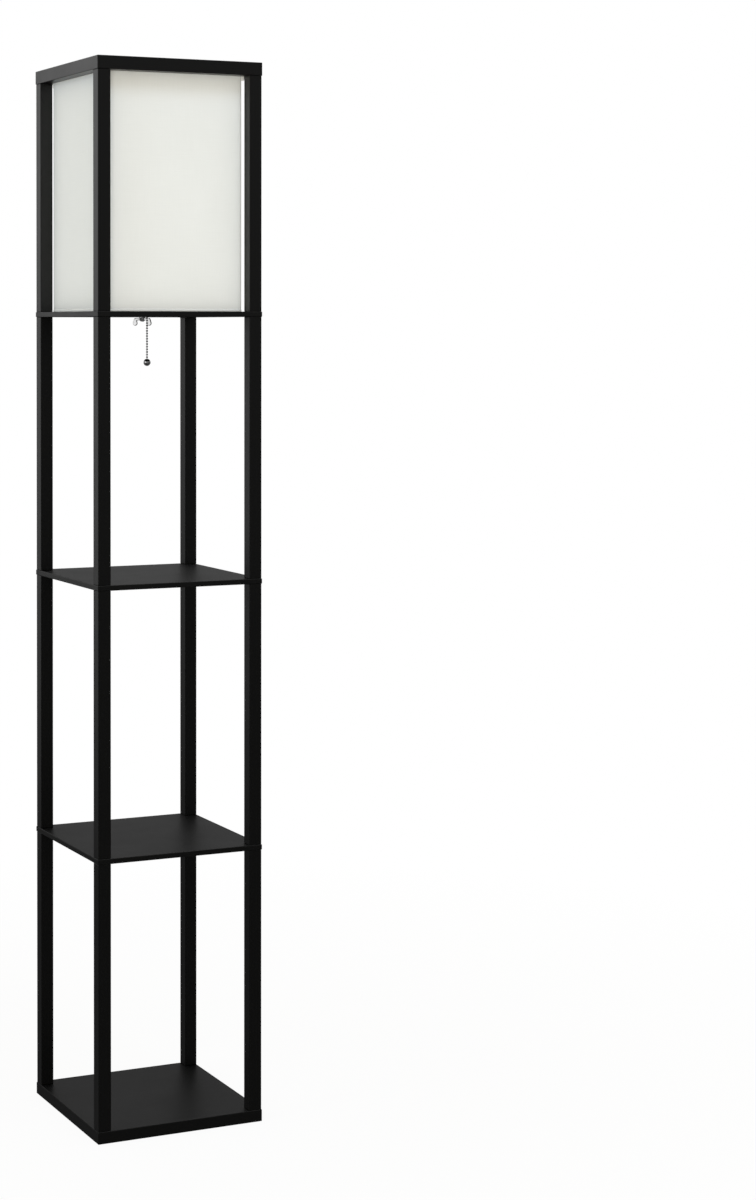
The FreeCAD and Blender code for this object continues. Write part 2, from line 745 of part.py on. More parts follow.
def chain_guide():
    """Pressed cover over the lever's tip, with a spout that leads the chain down."""
    front = -lever_overhang - guide_front_gap - guide_wall
    back = holder_y - cap_radius * math.cos(math.asin(guide_width / 2 / cap_radius))
    x1 = guide_width / 2
    z0 = lever_z - guide_below_pin
    z1 = lever_z + guide_above_pin
    cover = box(-x1, front, z0, x1, back, z1)
    rounded = [edge for edge in cover.Edges if abs(edge.CenterOfMass.y - front) < 1e-6]
    cover = cover.makeFillet(guide_wall, rounded)
    cover = cover.fuse(rod(0, 0, z0 - guide_spout_length, guide_hole_diameter + 2 * guide_wall,
                           guide_spout_length + guide_wall))
    cover = cover.cut(box(-x1 + guide_wall, front + guide_wall, z0 + guide_wall,
                          x1 - guide_wall, holder_y, z1 - guide_wall))
    cover = cover.cut(rod(0, 0, z0 - guide_spout_length, guide_hole_diameter,
                          guide_spout_length + 2 * guide_wall))
    return cover.cut(rod(0, holder_y, z0 - guide_spout_length, 2 * (cap_radius + fixed_clearance),
                         z1 - z0 + 2 * guide_spout_length))


def build_holder():
    """Everything of the lamp holder above the bracket."""
    save("holder_nipple", holder_nipple())
    save("nipple_lock_nut", lock_nut())
    save("holder_cap", holder_cap())
    save("holder_shell", holder_shell())
    save("shell_liner", shell_liner())
    save("screw_shell", screw_shell())
    save("centre_contact", centre_contact())
    save("holder_core", holder_core())
    save("terminal_screws", group([terminal_screw(side, z0) for side, z0 in terminal_places()]))
    save("switch_lever", switch_lever())
    save("lever_pin", lever_pin())
    save("lever_spring", lever_spring())
    save("chain_guide", chain_guide())


# ---- bead chain ----

def bead_string(heights, neck_top, neck_bottom):
    """Turned string of beads on a thin neck, about the chain's line."""
    bead_radius = bead_diameter / 2
    neck_radius = chain_neck_diameter / 2
    bite = math.sqrt(bead_radius ** 2 - neck_radius ** 2)
    edges = []
    last = V(neck_radius, 0, neck_top)
    edges.append(Part.LineSegment(V(0, 0, neck_top), last).toShape())
    for height in heights:
        upper = V(neck_radius, 0, height + bite)
        lower = V(neck_radius, 0, height - bite)
        edges.append(Part.LineSegment(last, upper).toShape())
        edges.append(Part.Arc(upper, V(bead_radius, 0, height), lower).toShape())
        last = lower
    bottom = V(neck_radius, 0, neck_bottom)
    edges.append(Part.LineSegment(last, bottom).toShape())
    edges.append(Part.LineSegment(bottom, V(0, 0, neck_bottom)).toShape())
    edges.append(Part.LineSegment(V(0, 0, neck_bottom), V(0, 0, neck_top)).toShape())
    return Part.Face(Part.Wire(edges)).revolve(V(0, 0, 0), V(0, 0, 1), 360)


def evenly(top, bottom):
    """Bead heights from top to bottom, both included, near the nominal pitch."""
    steps = max(1, round((top - bottom) / bead_pitch))
    return [top - (top - bottom) * step / steps for step in range(steps + 1)]


def upper_chain():
    """From the bead that rests in the lever's fork down to just above the bend."""
    fork_bead = fork_z + fork_bead_rise
    below_fork = fork_z - fork_bead_rise
    heights = [fork_bead] + evenly(below_fork, bend_bead_z + bead_pitch)
    stub = bead_diameter / 2 + bend_gap
    return bead_string(heights, fork_bead + bead_diameter / 2 - bend_gap, bend_bead_z + stub)


def hanging_chain():
    """From just below the bend down into the end ball."""
    ball_top = end_ball_z + end_ball_diameter / 2
    last_bead = ball_top + end_ball_neck + bead_diameter / 2
    stub = bead_diameter / 2 + bend_gap
    neck_end = ball_top - end_ball_socket_depth + fixed_clearance
    return bead_string(evenly(bend_bead_z - bead_pitch, last_bead), bend_bead_z - stub, neck_end)


def end_ball():
    """Solid ball with a small hole for the chain's last neck."""
    radius = end_ball_diameter / 2
    ball = Part.makeSphere(radius, V(0, 0, end_ball_z))
    hole = rod(0, 0, end_ball_z + radius - end_ball_socket_depth,
               chain_neck_diameter + 2 * fixed_clearance, 2 * end_ball_socket_depth)
    return ball.cut(hole)


def build_chain():
    """Pull chain in its pieces, all at rest in one straight line."""
    save("upper_chain", upper_chain())
    save("bend_bead", Part.makeSphere(bead_diameter / 2, V(0, 0, bend_bead_z)))
    save("hanging_chain", hanging_chain())
    save("end_ball", end_ball())


# ---- bulb ----

def thread_profile(crest, root, count):
    """Zigzag of a rolled thread, upwards from the cap's floor."""
    start = bulb_cap_floor + bulb_thread_depth
    points = []
    for turn in range(count):
        points.append((root, start + turn * bulb_thread_pitch))
        points.append((crest, start + (turn + 0.5) * bulb_thread_pitch))
    points.append((root, start + count * bulb_thread_pitch))
    return points


def bulb_cap():
    """Thin threaded metal cap with an open middle in its floor."""
    crest = bulb_cap_diameter / 2
    root = crest - bulb_thread_depth
    outside = [(root, bulb_cap_floor)] + thread_profile(crest, root, bulb_thread_turns)
    outside.append((root, bulb_cap_rim))
    inner = root - bulb_cap_wall
    inside = [(inner, bulb_cap_rim), (inner, bulb_cap_floor + bulb_cap_wall),
              (bulb_insulator_radius, bulb_cap_floor + bulb_cap_wall),
              (bulb_insulator_radius, bulb_cap_floor)]
    return turned(outside + inside, 0, holder_y, bulb_z)


def bulb_tip():
    """Contact and dark insulating cone at the bottom of the bulb."""
    return turned([
        (0, 0),
        (bulb_tip_radius, 0),
        (bulb_tip_radius + bulb_cap_wall, bulb_tip_height),
        (bulb_insulator_radius, bulb_cap_floor - bulb_cap_wall),
        (bulb_insulator_radius, bulb_cap_floor),
        (0, bulb_cap_floor),
    ], 0, holder_y, bulb_z)


def bulb_housing():
    """Flared hollow body between the screw cap and the dome."""
    plug_radius = bulb_cap_diameter / 2 - bulb_thread_depth - bulb_cap_wall - fixed_clearance
    top_radius = bulb_radius - bulb_dome_wall
    wall = bulb_housing_wall
    return turned([
        (plug_radius - wall, bulb_cap_rim - bulb_neck_plug),
        (plug_radius, bulb_cap_rim - bulb_neck_plug),
        (plug_radius, bulb_cap_rim),
        (bulb_neck_radius, bulb_cap_rim),
        (top_radius, bulb_housing_top),
        (top_radius - wall, bulb_housing_top),
        (plug_radius - wall, bulb_cap_rim + wall),
    ], 0, holder_y, bulb_z)


def bulb_diffuser():
    """Frosted dome: a short cylinder under a rounded top, hollow."""
    height = bulb_length - bulb_housing_top
    rise = height - bulb_radius

    def dome(radius, bottom):
        body = rod(0, holder_y, bottom, 2 * radius, bulb_z + bulb_housing_top + rise - bottom)
        return body.fuse(Part.makeSphere(radius, V(0, holder_y, bulb_z + bulb_housing_top + rise)))

    outer = dome(bulb_radius, bulb_z + bulb_housing_top)
    inner = dome(bulb_radius - bulb_dome_wall, bulb_z + bulb_housing_top)
    below = rod(0, holder_y, bulb_z, 4 * bulb_radius, bulb_housing_top)
    return outer.cut(inner).cut(below)


def light_board():
    """Round board with the light emitters, just inside the housing's top."""
    slope = (bulb_radius - bulb_dome_wall - bulb_neck_radius) / (bulb_housing_top - bulb_cap_rim)
    radius = bulb_radius - bulb_dome_wall - bulb_housing_wall - light_board_gap
    radius -= slope * light_board_thickness
    z0 = bulb_z + bulb_housing_top - light_board_thickness
    return rod(0, holder_y, z0, 2 * radius, light_board_thickness)


def build_bulb():
    """Screw-in bulb, seated in the holder."""
    save("bulb_cap", bulb_cap())
    save("bulb_tip", bulb_tip())
    save("bulb_housing", bulb_housing())
    save("bulb_diffuser", bulb_diffuser())
    save("bulb_light_board", light_board())


# ---- cord bushing ----

def cord_bushing():
    """Snap-in bushing: flange on the shelf, small lip below it."""
    return turned([
        (bushing_bore / 2, -bushing_lip_height),
        (bushing_diameter / 2, -bushing_lip_height),
        (bushing_lip_diameter / 2, 0),
        (bushing_diameter / 2, 0),
        (bushing_diameter / 2, shelf_thickness),
        (bushing_flange_diameter / 2, shelf_thickness),
        (bushing_flange_diameter / 2, shelf_thickness + bushing_flange_height),
        (bushing_bore / 2, shelf_thickness + bushing_flange_height),
    ], bushing_x, bushing_y, light_shelf_z)


def main():
    """Write every sub-part and print the sizes that the record needs."""
    os.makedirs("parts", exist_ok=True)
    build_stack()
    build_top_frame()
    build_shade()
    build_clamp()
    build_holder()
    build_chain()
    build_bulb()
    save("cord_bushing", cord_bushing())
    print("height %.2f, light shelf %.2f to %.2f, frame %.2f" % (frame_top, light_shelf_z, light_shelf_top,
                                                               frame_z))
    print("lever pin z %.3f, fork z %.3f, pull travel %.3f" % (lever_z, fork_z, pull_travel))
    print("wing nut z %.3f, bend bead z %.3f, bulb tip z %.3f" % (wing_nut_z, bend_bead_z, bulb_z))


main()
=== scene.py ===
"""Looks of the shelf floor lamp: black satin tower, off-white cloth shade, bright pull chain.

Lengths are in metres, and colours are linear.
"""
from collections import namedtuple
import json
import math

import bmesh
import bpy
from mathutils import Euler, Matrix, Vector, noise


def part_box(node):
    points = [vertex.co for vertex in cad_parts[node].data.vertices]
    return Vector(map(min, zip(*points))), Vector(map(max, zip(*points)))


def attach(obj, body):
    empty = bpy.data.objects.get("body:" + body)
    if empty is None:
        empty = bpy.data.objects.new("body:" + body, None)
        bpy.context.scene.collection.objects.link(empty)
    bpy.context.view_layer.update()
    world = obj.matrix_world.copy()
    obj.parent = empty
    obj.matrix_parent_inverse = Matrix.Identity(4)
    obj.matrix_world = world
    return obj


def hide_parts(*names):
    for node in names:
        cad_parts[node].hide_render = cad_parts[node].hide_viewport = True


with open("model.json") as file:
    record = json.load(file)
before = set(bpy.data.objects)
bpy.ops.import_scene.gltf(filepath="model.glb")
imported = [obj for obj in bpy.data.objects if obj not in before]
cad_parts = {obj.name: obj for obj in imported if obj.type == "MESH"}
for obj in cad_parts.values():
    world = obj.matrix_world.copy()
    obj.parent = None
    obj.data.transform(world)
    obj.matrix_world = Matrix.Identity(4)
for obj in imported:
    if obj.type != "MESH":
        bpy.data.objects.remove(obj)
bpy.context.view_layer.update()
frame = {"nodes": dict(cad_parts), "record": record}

# ---- camera, from the photograph's 756 x 1200 frame ----
IMAGE_WIDTH = 756
IMAGE_HEIGHT = 1200
SENSOR_MM = 36.0                       # along the image's long side
FOCAL_PX = 2433.6
OPTICAL_CENTRE_PX = (207.6, 364.2)
CAMERA_PLACE = (-1.4305, -3.4503, 1.2035)
CAMERA_YAW_DEG = -23.946               # about +Z; at 0 the camera looks along +Y
CAMERA_PITCH_DOWN_DEG = 0.895

# ---- world and floor ----
WHITE = (1.0, 1.0, 1.0)                # what shows behind the lamp
AMBIENT_STRENGTH = 0.69                # what the world gives to matt surfaces
AMBIENT_COLOUR = (1.0, 0.955, 0.845)
FLOOR_HALF = 30.0
FLOOR_SEEN_GREY = 0.88
FLOOR_BOUNCE_GREY = 0.60
FLOOR_GLOW = 0.93                      # share of plain white in what shows of the floor near the lamp
FLOOR_SHADE_REACH = (0.5, 1.8)         # over these distances from the lamp that share grows to all

# ---- lights ----
LIT_PLACE = (0.0, 0.0, 1.4)            # in the middle of the shade, where the lights aim
KEY_DIRECTION = (0.10, -0.63, 0.80)    # from the shade towards the key light
KEY_DISTANCE = 3.2
KEY_SIZE = 1.1
KEY_POWER = 26.0
KEY_COLOUR = (0.60, 0.77, 1.0)
FILL_PLACE = (-1.5, -3.6, 1.25)
FILL_SIZE = 1.8
FILL_POWER = 50.0
FILL_COLOUR = (1.0, 0.975, 0.885)
SIDE_PLACE = (-2.9, -0.5, 1.6)
SIDE_SIZE = 1.6
SIDE_POWER = 21.5
SIDE_COLOUR = (0.73, 0.87, 1.0)

# ---- reflecting cards, which only mirror-like rays see ----
# Greys are at the floor and at CARD_FADE_TOP. Edges are left and right of a card's direction,
# seen from the lamp.
CARD_FADE_TOP = 1.9
SURROUND_RADIUS = 4.6
SURROUND_TOP = 5.0
SURROUND_GREYS = (0.05, 0.27)
SURROUND_SEGMENTS = 64
GROUND_GREYS = (0.08, 0.08)
GROUND_LIFT = 0.0005                   # the ground's cloth lies this far over the floor
StandingCard = namedtuple("StandingCard", "direction distance edges heights greys")
STANDING_CARDS = {
    "card_left": StandingCard(direction=(-0.383, 0.924), distance=1.6, edges=(-0.9, 0.06),
                              heights=(0.0, SURROUND_TOP), greys=(0.02, 1.35)),
    "card_front": StandingCard(direction=(-0.406, -0.914), distance=3.9, edges=(-0.8, 0.8),
                               heights=(0.0, SURROUND_TOP), greys=(0.35, 0.35)),
    "card_side": StandingCard(direction=(-0.985, -0.170), distance=2.9, edges=(-1.7, 0.8),
                              heights=(0.7, 2.4), greys=(1.15, 1.15)),
}

# ---- black paint ----
PAINT_COLOURS = ((0.0014, 0.0014, 0.0013), (0.0028, 0.0027, 0.0025))
PAINT_SPECULAR = 0.36
POST_ROUGHNESS = 0.36
BOARD_ROUGHNESS = 0.40
GRAIN_ALONG = 1.5                      # how closely the grain under the paint lies along the wood
GRAIN_ACROSS = 40                      # and across it

# ---- other finishes ----
METAL_DULL_SHARE = 0.86                # how bright a metal's duller patches are
DRAWN_SCRATCHES = (1, 1, 12)           # flattened along Z, round the holder
DOWEL_PORES = (20, 400, 400)           # cells in a metre; the dowels lie along X

# ---- shade cloth ----
CLOTH_COLOURS = ((0.785, 0.790, 0.775), (0.860, 0.867, 0.855))
CLOTH_THREAD_PAIRS = (1100, 1000)      # in a metre round the shade and up it
CLOTH_UPRIGHT_SLUBS = (900, 22, 1)     # cells in a metre round the shade and up it
CLOTH_LEVEL_SLUBS = (22, 800, 1)
CLOTH_THICKNESS = 0.0008
CLOTH_BOW = 0.0005                     # how far the cloth draws in between its two rings
CLOTH_RIPPLE = 0.00012
CLOTH_RIPPLE_CELLS = (22, 9)           # in a metre, level and upright
CLOTH_CORNER_RADIUS = 0.0035
CLOTH_SIDE_STEPS = 44
CLOTH_CORNER_STEPS = 6
CLOTH_QUARTER_COLUMNS = CLOTH_SIDE_STEPS + CLOTH_CORNER_STEPS
CLOTH_ROWS = 60
EAR_NOTCH_HEIGHT = 0.0088              # the top ring's ears come out through these notches
EAR_NOTCH_STEPS = 2                    # how many of a corner's steps are left open
HEM_HEIGHT = 0.0038
HEM_PROUD = 0.00045                    # the cloth folded round each ring stands out this much
HEM_GROOVE = 0.00020                   # and the line where it ends lies in by this much
HEM_FOLD = ((0.0, 0.3), (0.15, 0.9), (0.4, 1.0), (0.8, 1.0), (0.93, 0.6))    # as shares of
HEM_LINE = ((1.0, 1.0), (1.1, 1.0), (1.35, 0.0))    # HEM_HEIGHT, and of HEM_PROUD or HEM_GROOVE
SEAM_OVERLAP = 0.010
SEAM_PROUD = 0.0004

QUARTER_TURN = math.pi / 2

# ---- sockets of the Mix node when it mixes colours ----
MIX_FACTOR = 0
MIX_FIRST = 6
MIX_SECOND = 7
MIX_RESULT = 2


# ---- node helpers; an owner is a material or a world ----

def new_material(name):
    """A material with its shader and output."""
    made = bpy.data.materials.new(name)
    made.use_nodes = True
    return made


def node_of(owner, kind):
    """The owner's own node of that type."""
    return next(node for node in owner.node_tree.nodes if node.type == kind)


def add(owner, kind, inputs=None, **settings):
    """Adds a node. inputs holds socket values or the output sockets that feed them."""
    node = owner.node_tree.nodes.new(kind)
    for key, value in settings.items():
        setattr(node, key, value)
    for key, value in (inputs or {}).items():
        if isinstance(value, bpy.types.NodeSocket):
            owner.node_tree.links.new(value, node.inputs[key])
        else:
            node.inputs[key].default_value = value
    return node


def plug(made, socket, name):
    """Feeds a socket of the material's shader."""
    made.node_tree.links.new(socket, node_of(made, "BSDF_PRINCIPLED").inputs[name])


def set_plain(made, **values):
    """Sets shader sockets that are the same all over the surface."""
    for name, value in values.items():
        node_of(made, "BSDF_PRINCIPLED").inputs[name.replace("_", " ")].default_value = value


def stretched(made, vector, scale):
    """A vector stretched by scale."""
    return add(made, "ShaderNodeMapping", {"Vector": vector, "Scale": scale}).outputs[0]


def object_place(made, scale=(1, 1, 1)):
    """Places on the object, stretched by scale."""
    return stretched(made, add(made, "ShaderNodeTexCoord").outputs["Object"], scale)


def speckle(made, vector, cells, detail, roughness=0.6):
    """Noise from 0 to 1, with so many cells in one unit of the vector."""
    return add(made, "ShaderNodeTexNoise", {
        "Vector": vector, "Scale": cells, "Detail": detail, "Roughness": roughness}).outputs["Fac"]


def calculate(owner, operation, *values):
    """One sum on sockets or numbers."""
    return add(owner, "ShaderNodeMath", dict(enumerate(values)), operation=operation).outputs[0]


def between(owner, share, low, high):
    """Maps 0..1 to low..high."""
    return add(owner, "ShaderNodeMapRange", {"Value": share, "To Min": low, "To Max": high}).outputs[0]


def about(made, share, middle, spread):
    """Maps 0..1 to the middle value, give or take the spread."""
    return between(made, share, middle - spread, middle + spread)


def two_colours(owner, share, first, second):
    """Blend of two colours: the first at 0, the second at 1."""
    return add(owner, "ShaderNodeMix", {
        MIX_FACTOR: share, MIX_FIRST: (*first, 1), MIX_SECOND: (*second, 1)},
        data_type="RGBA").outputs[MIX_RESULT]


def bumps(made, height, strength, distance, before=None):
    """Normal from a height pattern, on top of an earlier normal."""
    inputs = {"Height": height, "Strength": strength, "Distance": distance}
    if before is not None:
        inputs["Normal"] = before
    return add(made, "ShaderNodeBump", inputs).outputs[0]


# ---- materials ----

def black_paint(name, grain, roughness):
    """Satin black: fine orange peel, soft cloudiness, and a faint grain along one direction."""
    made = new_material(name)
    place = object_place(made)
    cloud = speckle(made, place, cells=14, detail=2)
    peel = speckle(made, place, cells=900, detail=2)
    fibres = speckle(made, object_place(made, grain), cells=30, detail=6, roughness=0.7)
    plug(made, two_colours(made, fibres, *PAINT_COLOURS), "Base Color")
    plug(made, about(made, cloud, roughness, spread=0.05), "Roughness")
    normal = bumps(made, peel, strength=0.12, distance=0.0002)
    plug(made, bumps(made, fibres, strength=0.10, distance=0.0002, before=normal), "Normal")
    set_plain(made, Specular_IOR_Level=PAINT_SPECULAR)
    return made


def threads(made, distance, pairs):
    """Height of threads that lie side by side, so many pairs in a metre."""
    turned = calculate(made, "MULTIPLY", distance, pairs * 2 * math.pi)
    return calculate(made, "ABSOLUTE", calculate(made, "SINE", turned))


def shade_cloth():
    """Off-white plain weave with slubs, laid out in metres round the shade and up it."""
    made = new_material("shade_cloth")
    uv = add(made, "ShaderNodeUVMap", uv_map="cloth").outputs[0]
    ways = add(made, "ShaderNodeSeparateXYZ", {"Vector": uv}).outputs
    weave = calculate(made, "MULTIPLY", threads(made, ways["X"], CLOTH_THREAD_PAIRS[0]),
                      threads(made, ways["Y"], CLOTH_THREAD_PAIRS[1]))
    upright, level = [speckle(made, stretched(made, uv, cells), cells=1, detail=2)
                      for cells in (CLOTH_UPRIGHT_SLUBS, CLOTH_LEVEL_SLUBS)]
    slubs = calculate(made, "MULTIPLY", upright, level)
    cloud = speckle(made, object_place(made), cells=9, detail=2)
    mottle = calculate(made, "ADD", slubs, between(made, cloud, low=0.0, high=0.5))
    plug(made, two_colours(made, mottle, *CLOTH_COLOURS), "Base Color")
    normal = bumps(made, weave, strength=0.25, distance=0.0001)
    plug(made, bumps(made, slubs, strength=0.2, distance=0.0002, before=normal), "Normal")
    plug(made, between(made, slubs, low=0.82, high=0.95), "Roughness")
    set_plain(made, Specular_IOR_Level=0.2, Sheen_Weight=0.15, Sheen_Roughness=0.5)
    return made


def metal(name, colour, roughness, variation, scratch=(1, 1, 1)):
    """Metal with faint scratches along one direction and uneven polish."""
    made = new_material(name)
    marks = speckle(made, object_place(made, scratch), cells=700, detail=4, roughness=0.7)
    cloud = speckle(made, object_place(made), cells=60, detail=2)
    duller = tuple(METAL_DULL_SHARE * channel for channel in colour)
    plug(made, two_colours(made, cloud, duller, colour), "Base Color")
    plug(made, about(made, marks, roughness, variation), "Roughness")
    plug(made, bumps(made, marks, strength=0.05, distance=0.0001), "Normal")
    set_plain(made, Metallic=1.0)
    return made


def plastic(name, dark, light, roughness):
    """Moulded plastic or coating with a fine texture."""
    made = new_material(name)
    place = object_place(made)
    texture = speckle(made, place, cells=1500, detail=3)
    cloud = speckle(made, place, cells=40, detail=2)
    plug(made, two_colours(made, cloud, dark, light), "Base Color")
    plug(made, about(made, texture, roughness, spread=0.05), "Roughness")
    plug(made, bumps(made, texture, strength=0.15, distance=0.0001), "Normal")
    return made


def bare_wood():
    """Beech dowel: long pores along its length."""
    made = new_material("bare_beech")
    pores = speckle(made, object_place(made, DOWEL_PORES), cells=1, detail=5, roughness=0.7)
    plug(made, two_colours(made, pores, (0.36, 0.23, 0.12), (0.62, 0.47, 0.30)), "Base Color")
    plug(made, bumps(made, pores, strength=0.3, distance=0.0002), "Normal")
    set_plain(made, Roughness=0.6)
    return made


def cad_materials():
    """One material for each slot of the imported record, apart from the black paint."""
    # A metal's numbers are its colour, roughness and unevenness, a plastic's its two colours and roughness.
    return {
        "shade_fabric": shade_cloth(),
        "ring_wire": plastic("white_powder_coat", (0.70, 0.69, 0.66), (0.80, 0.79, 0.76), 0.45),
        "black_screw_steel": metal("black_zinc", (0.10, 0.10, 0.10), 0.35, 0.04),
        "zinc_steel": metal("zinc_plate", (0.62, 0.63, 0.65), 0.32, 0.08),
        "dowel_wood": bare_wood(),
        "bright_nickel": metal("bright_nickel", (0.72, 0.72, 0.72), 0.12, 0.04),
        "holder_metal": metal("pressed_aluminium", (0.72, 0.71, 0.69), 0.28, 0.06, DRAWN_SCRATCHES),
        "fibre": plastic("insulating_fibre", (0.05, 0.04, 0.035), (0.10, 0.08, 0.06), 0.8),
        "brass": metal("stamped_brass", (0.80, 0.62, 0.30), 0.25, 0.06),
        "phenolic": plastic("phenolic", (0.012, 0.010, 0.009), (0.03, 0.025, 0.02), 0.4),
        "bulb_cap_metal": metal("rolled_cap", (0.66, 0.66, 0.66), 0.24, 0.05),
        "bulb_tip_glass": plastic("cap_glass", (0.01, 0.01, 0.012), (0.03, 0.03, 0.035), 0.15),
        "bulb_housing_plastic": plastic("white_housing", (0.80, 0.80, 0.79), (0.86, 0.86, 0.85), 0.4),
        "bulb_diffuser_plastic": plastic("frosted_dome", (0.86, 0.86, 0.84), (0.92, 0.92, 0.90), 0.45),
        "board_aluminium": plastic("white_solder_mask", (0.78, 0.78, 0.76), (0.86, 0.86, 0.84), 0.4),
        "black_plastic": plastic("black_nylon", (0.010, 0.010, 0.010), (0.022, 0.022, 0.022), 0.45),
    }


def paint_cad():
    """Gives every CAD node its material, black wood with its grain along each piece."""
    by_slot = cad_materials()
    upright = black_paint("black_posts", (GRAIN_ACROSS, GRAIN_ACROSS, GRAIN_ALONG), POST_ROUGHNESS)
    crosswise = black_paint("black_boards", (GRAIN_ALONG, GRAIN_ACROSS, GRAIN_ACROSS), BOARD_ROUGHNESS)
    lengthwise = black_paint("black_side_rails", (GRAIN_ACROSS, GRAIN_ALONG, GRAIN_ACROSS), POST_ROUGHNESS)
    for part in frame["record"]["subparts"]:
        node = frame["nodes"][part["node"]]
        if part["material_slot"] != "black_paint":
            chosen = by_slot[part["material_slot"]]
        elif "post" in part["node"]:
            chosen = upright
        elif part["node"] in ("top_rail_left", "top_rail_right"):
            chosen = lengthwise
        else:
            chosen = crosswise
        node.data.materials.clear()
        node.data.materials.append(chosen)
    return by_slot


# ---- mesh helper ----

def mesh_object(name, build, material):
    """An object of one material, whose faces build adds to an empty mesh."""
    mesh = bpy.data.meshes.new(name)
    work = bmesh.new()
    build(work)
    work.to_mesh(mesh)
    work.free()
    mesh.materials.append(material)
    made = bpy.data.objects.new(name, mesh)
    bpy.context.collection.objects.link(made)
    return made


# ---- shade ----

# A place on the loop round the shade, its outward direction, and the way to it along the loop.
Spot = namedtuple("Spot", "x y out_x out_y travelled")


def rounded_square(centre, half, radius, side_steps, corner_steps):
    """Spots round a rounded square, each with its outward direction, and the whole way round."""
    spots = []
    travelled = 0.0
    flat = half - radius
    for quarter in range(1, 5):        # from the right end of the back, where the seam is
        angle = quarter * QUARTER_TURN
        out = Vector((math.cos(angle), math.sin(angle)))
        along = Vector((-math.sin(angle), math.cos(angle)))
        for step in range(side_steps):
            share = step / side_steps
            place = out * half + along * flat * (2 * share - 1)
            spots.append(Spot(centre[0] + place.x, centre[1] + place.y, out.x, out.y,
                              travelled + 2 * flat * share))
        travelled += 2 * flat
        middle = (out + along) * flat
        for step in range(corner_steps):
            turn = angle + step / corner_steps * QUARTER_TURN
            normal = Vector((math.cos(turn), math.sin(turn)))
            place = middle + normal * radius
            spots.append(Spot(centre[0] + place.x, centre[1] + place.y, normal.x, normal.y,
                              travelled + radius * QUARTER_TURN * step / corner_steps))
        travelled += radius * QUARTER_TURN
    return spots, travelled


def shade_sizes():
    """Centre, half side, bottom and top of the shade's wall."""
    low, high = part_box("shade_wall")
    centre = ((low[0] + high[0]) / 2, (low[1] + high[1]) / 2)
    return centre, (high[0] - low[0]) / 2, low[2], high[2]


def is_ear_notch(column, height, top):
    """True where an ear comes out, in the middle of a corner's steps and near the top."""
    face_middle = column % CLOTH_QUARTER_COLUMNS + 0.5
    corner_middle = CLOTH_SIDE_STEPS + CLOTH_CORNER_STEPS / 2
    return abs(face_middle - corner_middle) < EAR_NOTCH_STEPS / 2 and height > top - EAR_NOTCH_HEIGHT


def hem_profile():
    """Heights above an edge of the cloth, each with how far the folded hem stands out there."""
    fold = [(up * HEM_HEIGHT, out * HEM_PROUD) for up, out in HEM_FOLD]
    return fold + [(up * HEM_HEIGHT, -deep * HEM_GROOVE) for up, deep in HEM_LINE]


def cloth_rows(bottom, top):
    """Heights of the cloth's rows, each with how far it stands out."""
    notch = top - EAR_NOTCH_HEIGHT
    rows = [(bottom + up, proud) for up, proud in hem_profile()]
    start = rows[-1][0]
    rows += [(start + (notch - start) * step / CLOTH_ROWS, 0.0) for step in range(1, CLOTH_ROWS + 1)]
    return rows + [(top - down, proud) for down, proud in reversed(hem_profile())]


def cloth_inward(column, spot, height, up, proud):
    """How far the cloth lies inside a spot, at a height that is a share, up, of the whole."""
    share = (column % CLOTH_QUARTER_COLUMNS) / CLOTH_SIDE_STEPS
    across = math.sin(math.pi * min(share, 1.0))
    level, upright = CLOTH_RIPPLE_CELLS
    inward = CLOTH_BOW * math.sin(math.pi * up) * across - proud
    inward += CLOTH_RIPPLE * across * noise.noise(Vector((spot.x * level, spot.y * level, height * upright)))
    if spot.travelled < SEAM_OVERLAP:
        inward -= SEAM_PROUD
    return inward


def fill_cloth(work, uv, grid, loop, length, heights):
    """Faces between the rows of points, each with its place round the shade and up it."""
    for row, (low, high) in enumerate(zip(heights, heights[1:])):
        for column, spot in enumerate(loop):
            if is_ear_notch(column, (low + high) / 2, heights[-1]):
                continue
            following = (column + 1) % len(loop)
            start = spot.travelled
            end = loop[following].travelled if following else length
            face = work.faces.new((grid[row][column], grid[row][following],
                                   grid[row + 1][following], grid[row + 1][column]))
            places = ((start, low), (end, low), (end, high), (start, high))
            for corner, place in zip(face.loops, places):
                corner[uv].uv = place


def build_cloth(work):
    """One sheet round the four sides, hemmed at both rings and drawn in a little between them."""
    centre, half, bottom, top = shade_sizes()
    loop, length = rounded_square(centre, half, CLOTH_CORNER_RADIUS, CLOTH_SIDE_STEPS, CLOTH_CORNER_STEPS)
    uv = work.loops.layers.uv.new("cloth")
    rows = cloth_rows(bottom, top)
    grid = []
    for height, proud in rows:
        up = (height - bottom) / (top - bottom)
        row = []
        for column, spot in enumerate(loop):
            inward = cloth_inward(column, spot, height, up, proud)
            place = (spot.x - spot.out_x * inward, spot.y - spot.out_y * inward, height)
            row.append(work.verts.new(place))
        grid.append(row)
    fill_cloth(work, uv, grid, loop, length, [height for height, _ in rows])


def make_shade(cloth_material):
    """The stretched cloth of the shade."""
    cloth = mesh_object("shade_cloth", build_cloth, cloth_material)
    for face in cloth.data.polygons:
        face.use_smooth = True
    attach(cloth, "root")
    wall = cloth.modifiers.new("thickness", "SOLIDIFY")
    wall.thickness = CLOTH_THICKNESS
    wall.offset = -1
    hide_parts("shade_wall")


# ---- studio ----

def seen_directly(owner):
    """1 for camera, glossy and transmission rays, 0 for the rest."""
    path = add(owner, "ShaderNodeLightPath")
    seen = path.outputs["Is Camera Ray"]
    for name in ("Is Glossy Ray", "Is Transmission Ray"):
        seen = calculate(owner, "MAXIMUM", seen, path.outputs[name])
    return seen


